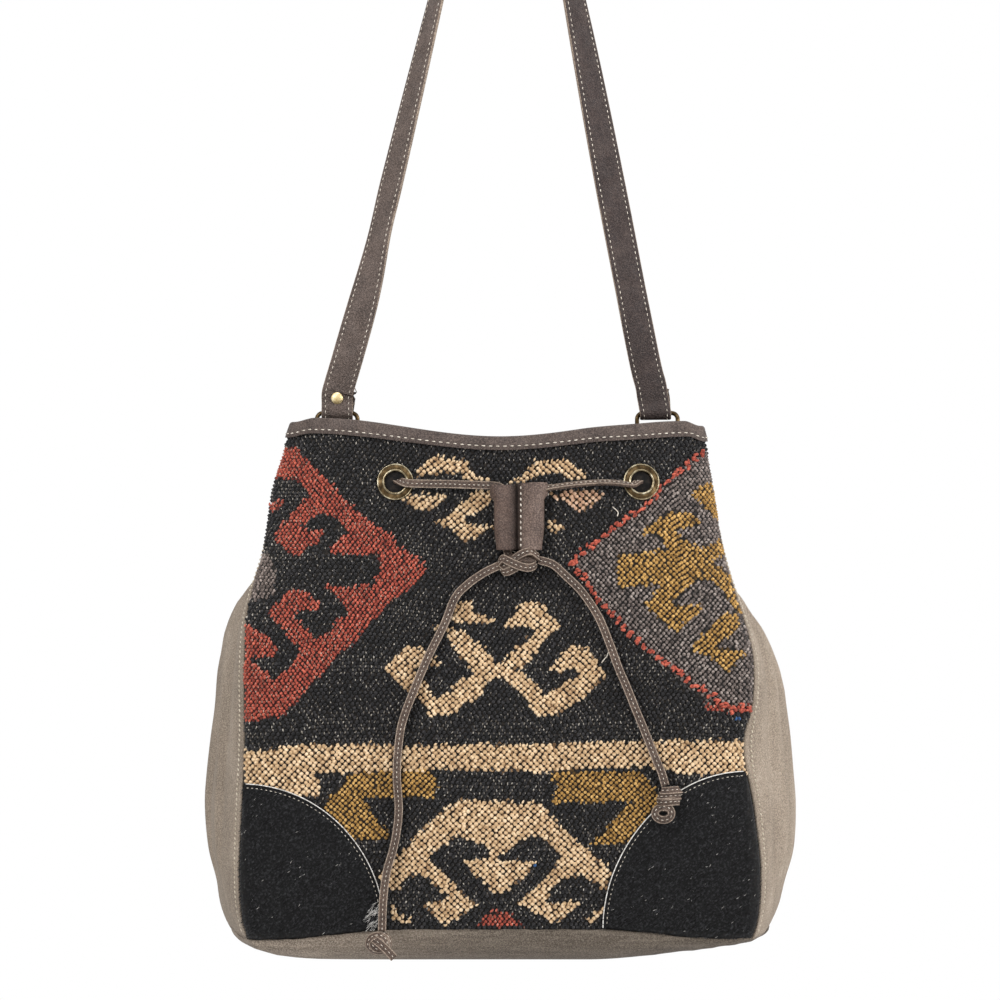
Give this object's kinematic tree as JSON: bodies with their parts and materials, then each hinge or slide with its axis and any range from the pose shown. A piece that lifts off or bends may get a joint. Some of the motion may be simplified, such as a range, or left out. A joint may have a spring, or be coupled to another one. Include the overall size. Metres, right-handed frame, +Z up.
{
  "type": "drawstring bucket bag",
  "caption": "Drawstring bucket shoulder bag with a flatweave rug front, hide corner patches, canvas sides and base, leather binding, and a leather strap on D-rings.",
  "frame": {"origin": "underside of the shoulder strap at its highest point, where the bag hangs on a hook", "axes": "+Z up, +Y from the rug front towards the plain back, +X to the right seen from the front"},
  "size_m": [0.3768, 0.1637, 0.8134],
  "materials": {
    "kilim_cloth": "coarse flatweave",
    "canvas": "plain canvas",
    "lining_cloth": "plain cotton",
    "hair_on_hide": "short glossy hair",
    "leather": "matte, stitched",
    "strap_leather": "matte, stitched",
    "antique_brass": "antique",
    "bright_brass": "polished"
  },
  "bodies": {
    "strap": {"shoulder_strap": "strap_leather", "rivet_cap": "bright_brass", "rivet_post": "bright_brass"},
    "d_ring_left": {"d_ring_left": "antique_brass"},
    "d_ring_right": {"d_ring_right": "antique_brass"},
    "bag": {"front_panel": "kilim_cloth", "back_panel": "canvas", "gusset_left": "canvas", "gusset_right": "canvas", "base_panel": "canvas", "lining": "lining_cloth", "mouth_binding": "leather", "corner_patch_left": "hair_on_hide", "corner_patch_right": "hair_on_hide", "eyelet_front_left": "antique_brass", "eyelet_washer_front_left": "antique_brass", "eyelet_front_right": "antique_brass", "eyelet_washer_front_right": "antique_brass", "eyelet_back_left": "antique_brass", "eyelet_washer_back_left": "antique_brass", "eyelet_back_right": "antique_brass", "eyelet_washer_back_right": "antique_brass", "ring_tab_left": "leather", "ring_tab_right": "leather", "cord_slider": "leather", "drawcord_loop": "leather", "drawcord_tail_left": "leather", "drawcord_tail_right": "leather", "drawcord_knot": "leather", "tail_knot_left": "leather", "tail_knot_right": "leather"}
  },
  "joints": [
    {"name": "ring_left_swing", "type": "hinge", "parent": "strap", "child": "d_ring_left", "pos_m": [-0.114, 0, -0.4623], "axis": [1, 0, 0], "range_deg": [-20, 20]},
    {"name": "ring_right_swing", "type": "hinge", "parent": "strap", "child": "d_ring_right", "pos_m": [0.0925, 0, -0.4623], "axis": [1, 0, 0], "range_deg": [-20, 20]},
    {"name": "bag_swing", "type": "hinge", "parent": "d_ring_left", "child": "bag", "pos_m": [-0.114, 0, -0.4815], "axis": [1, 0, 0], "range_deg": [-20, 20]}
  ],
  "couplings": [
    {"joint": "ring_right_swing", "follows": "ring_left_swing", "ratio": 1}
  ]
}
